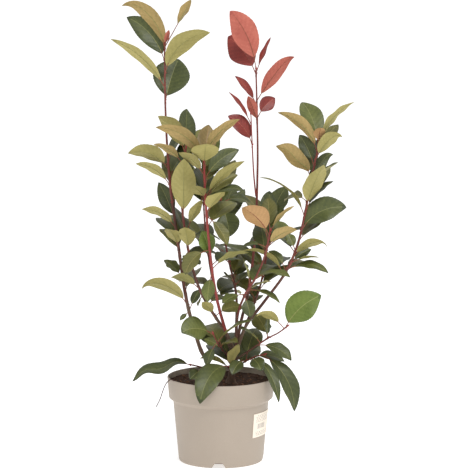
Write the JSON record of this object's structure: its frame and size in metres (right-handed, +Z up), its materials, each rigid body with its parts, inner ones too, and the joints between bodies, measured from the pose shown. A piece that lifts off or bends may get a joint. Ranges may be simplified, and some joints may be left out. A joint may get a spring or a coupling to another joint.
{
  "type": "potted shrub",
  "caption": "Potted red tip photinia: an upright, open evergreen shrub with red young shoots in a round tapering nursery pot with a collar.",
  "frame": {"origin": "centre of the pot's flat underside, on the surface it stands on", "axes": "+Z up along the pot's axis; the side that the picture shows faces -Y, with +X to its right"},
  "size_m": [0.4215, 0.2694, 0.8145],
  "materials": {
    "pot_plastic": "matte taupe",
    "compost": "moist dark brown bark compost",
    "label_paper": "matte cream paper",
    "bark": "smooth red-brown young bark",
    "green_leaf": "leathery evergreen leaf",
    "red_leaf": "glossy young red leaf"
  },
  "bodies": {
    "root": {"back_foliage": "green_leaf", "back_left_foliage": "green_leaf", "back_left_stem": "bark", "back_right_foliage": "green_leaf", "back_right_stem": "bark", "back_stem": "bark", "compost": "compost", "front_foliage": "green_leaf", "front_stem": "bark", "inner_left_foliage": "green_leaf", "inner_left_stem": "bark", "inner_right_foliage": "green_leaf", "inner_right_stem": "bark", "label": "label_paper", "left_foliage": "green_leaf", "left_stem": "bark", "left_stem_upper": "bark", "left_top_foliage": "green_leaf", "low_left_foliage": "green_leaf", "low_right_foliage": "green_leaf", "low_right_stem": "bark", "pot": "pot_plastic", "red_side_foliage": "red_leaf", "red_top_foliage": "red_leaf", "right_foliage": "green_leaf", "right_stem": "bark", "rim_back_foliage": "green_leaf", "rim_front_foliage": "green_leaf", "rim_left_foliage": "green_leaf", "rim_right_foliage": "green_leaf", "side_stem": "bark", "tall_stem": "bark", "trunk": "bark"}
  },
  "joints": []
}
